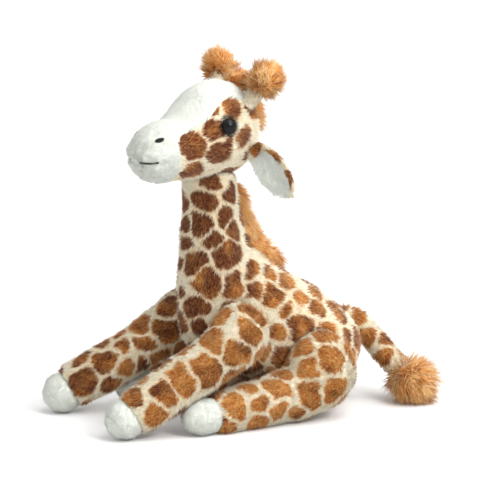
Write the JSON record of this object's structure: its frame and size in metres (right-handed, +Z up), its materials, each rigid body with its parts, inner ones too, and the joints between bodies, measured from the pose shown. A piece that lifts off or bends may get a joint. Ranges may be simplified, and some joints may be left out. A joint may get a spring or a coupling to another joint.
{
  "type": "plush giraffe",
  "caption": "Seated stuffed plush giraffe with its legs stretched forward, a long upright neck, a patched coat, a white face, tufted horns, a mane and a tasselled tail.",
  "frame": {"origin": "centre of the seat's flat resting face on the ground", "axes": "+Z up, -Y the way the giraffe faces, +X its left side"},
  "size_m": [0.1328, 0.234, 0.2351],
  "materials": {
    "patched_plush": "brushed plush pile, tan-brown patches on cream",
    "cream_plush": "brushed cream plush pile",
    "white_short_pile": "short-pile velour",
    "long_pile": "long shaggy pile",
    "fibre_filling": "loose polyester fibre",
    "black_thread": "satin stitch",
    "eye_black": "high gloss",
    "washer_plastic": "moulded"
  },
  "bodies": {
    "torso": {"torso_cover": "patched_plush", "torso_filling": "fibre_filling", "neck_mane": "long_pile"},
    "left_front_leg": {"left_front_leg_cover": "patched_plush", "left_front_leg_filling": "fibre_filling", "left_front_hoof": "white_short_pile"},
    "right_front_leg": {"right_front_leg_cover": "patched_plush", "right_front_leg_filling": "fibre_filling", "right_front_hoof": "white_short_pile"},
    "left_hind_leg": {"left_hind_leg_cover": "patched_plush", "left_hind_leg_filling": "fibre_filling", "left_hind_hoof": "white_short_pile"},
    "right_hind_leg": {"right_hind_leg_cover": "patched_plush", "right_hind_leg_filling": "fibre_filling", "right_hind_hoof": "white_short_pile"},
    "head": {"head_cover": "patched_plush", "face_panel": "white_short_pile", "head_filling": "fibre_filling", "head_mane": "long_pile", "mouth_stitch": "black_thread", "left_eye": "eye_black", "left_eye_washer": "washer_plastic", "left_nostril": "black_thread", "left_horn_stem": "cream_plush", "left_horn_ball": "long_pile", "right_eye": "eye_black", "right_eye_washer": "washer_plastic", "right_nostril": "black_thread", "right_horn_stem": "cream_plush", "right_horn_ball": "long_pile"},
    "left_ear": {"left_ear_front": "white_short_pile", "left_ear_back": "patched_plush"},
    "right_ear": {"right_ear_front": "white_short_pile", "right_ear_back": "patched_plush"},
    "tail": {"tail_cover": "patched_plush", "tail_tuft": "long_pile"}
  },
  "joints": [
    {"name": "left_front_leg_lift", "type": "hinge", "parent": "torso", "child": "left_front_leg", "pos_m": [0.033, -0.057, 0.061], "axis": [-1, 0, 0], "range_deg": [0, 35]},
    {"name": "right_front_leg_lift", "type": "hinge", "parent": "torso", "child": "right_front_leg", "pos_m": [-0.033, -0.057, 0.061], "axis": [-1, 0, 0], "range_deg": [0, 35]},
    {"name": "left_hind_leg_spread", "type": "hinge", "parent": "torso", "child": "left_hind_leg", "pos_m": [0.036, 0.0025, 0.0282], "axis": [0, 0, 1], "range_deg": [0, 30]},
    {"name": "right_hind_leg_spread", "type": "hinge", "parent": "torso", "child": "right_hind_leg", "pos_m": [-0.036, 0.0025, 0.0282], "axis": [0, 0, -1], "range_deg": [0, 30]},
    {"name": "head_nod", "type": "hinge", "parent": "torso", "child": "head", "pos_m": [0, -0.0585, 0.156], "axis": [0.9945, 0.1045, 0], "range_deg": [-12, 12], "stiffness_Nm_per_rad": 0.6},
    {"name": "left_ear_flap", "type": "hinge", "parent": "head", "child": "left_ear", "pos_m": [0.02447, -0.03783, 0.1795], "axis": [0.6738, 0.286, 0.6813], "range_deg": [-10, 30], "stiffness_Nm_per_rad": 0.03},
    {"name": "right_ear_flap", "type": "hinge", "parent": "head", "child": "right_ear", "pos_m": [-0.02824, -0.04337, 0.1795], "axis": [-0.7186, 0.1397, 0.6813], "range_deg": [-10, 30], "stiffness_Nm_per_rad": 0.03},
    {"name": "tail_swing", "type": "hinge", "parent": "torso", "child": "tail", "pos_m": [0, 0.04667, 0.0555], "axis": [0, 0, 1], "range_deg": [-10, 60]}
  ]
}
